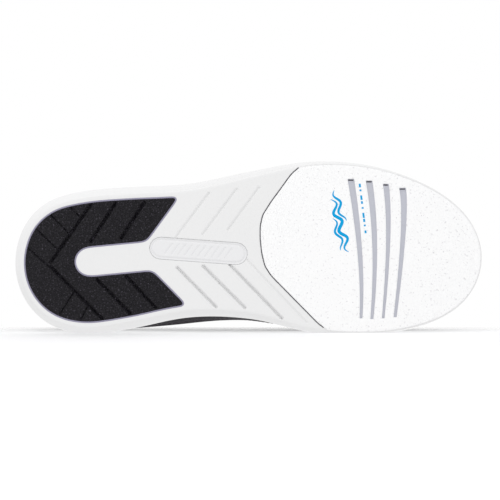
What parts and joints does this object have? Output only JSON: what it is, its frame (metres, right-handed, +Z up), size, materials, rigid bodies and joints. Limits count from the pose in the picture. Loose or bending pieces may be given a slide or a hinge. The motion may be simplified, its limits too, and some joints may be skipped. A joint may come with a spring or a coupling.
{
  "type": "bowling shoe",
  "caption": "Right lace-up bowling shoe: moulded white sole with a microfibre slide pad and black grooved heel pad, dark knitted upper, padded collar and tongue, laced and tied.",
  "frame": {"origin": "middle of the shoe's bounding box in plan, on the plane the sole stands on", "axes": "+Z up from the ground, -Y towards the toe, +Y towards the heel, +X towards the medial (arch) side of this right shoe"},
  "size_m": [0.1107, 0.3, 0.1105],
  "materials": {
    "sole_frame": "matt",
    "midsole_foam": "matt",
    "heel_rubber": "pebbled",
    "slide_microfibre": "napped",
    "slide_backing": "matt",
    "badge_plastic": "satin",
    "board": "matt",
    "sockliner_textile": "matt",
    "knit": "matt",
    "lining_textile": "matt",
    "padding_foam": "matt",
    "stiffener": "matt",
    "overlay_synthetic": "satin",
    "webbing": "matt",
    "eyelet_metal": "satin",
    "lace_yarn": "matt",
    "aglet_plastic": "gloss"
  },
  "bodies": {
    "shoe": {"outsole": "sole_frame", "heel_pad": "heel_rubber", "slide_pad": "slide_microfibre", "slide_backing": "slide_backing", "waist_badge": "badge_plastic", "midsole": "midsole_foam", "lasting_board": "board", "sockliner": "sockliner_textile", "vamp": "knit", "quarter_medial": "knit", "quarter_lateral": "knit", "vamp_lining": "lining_textile", "collar_lining": "lining_textile", "collar_foam": "padding_foam", "heel_counter": "stiffener", "toe_puff": "stiffener", "toe_cap": "overlay_synthetic", "heel_patch": "overlay_synthetic", "foxing_medial": "overlay_synthetic", "foxing_lateral": "overlay_synthetic", "eyestay_medial": "overlay_synthetic", "eyestay_lateral": "overlay_synthetic", "eyelets": "eyelet_metal", "lace": "lace_yarn", "aglets": "aglet_plastic", "heel_strip": "webbing"},
    "tongue": {"tongue": "knit", "tongue_edging": "webbing"},
    "pull_tab": {"pull_tab": "webbing"}
  },
  "joints": [
    {"name": "tongue_hinge", "type": "hinge", "parent": "shoe", "child": "tongue", "pos_m": [0.0065, -0.05, 0.057], "axis": [1, 0, 0], "range_deg": [-7, 0]},
    {"name": "pull_tab_hinge", "type": "hinge", "parent": "shoe", "child": "pull_tab", "pos_m": [0.0095, 0.1382, 0.0883], "axis": [1, 0, 0], "range_deg": [-35, 60]}
  ]
}
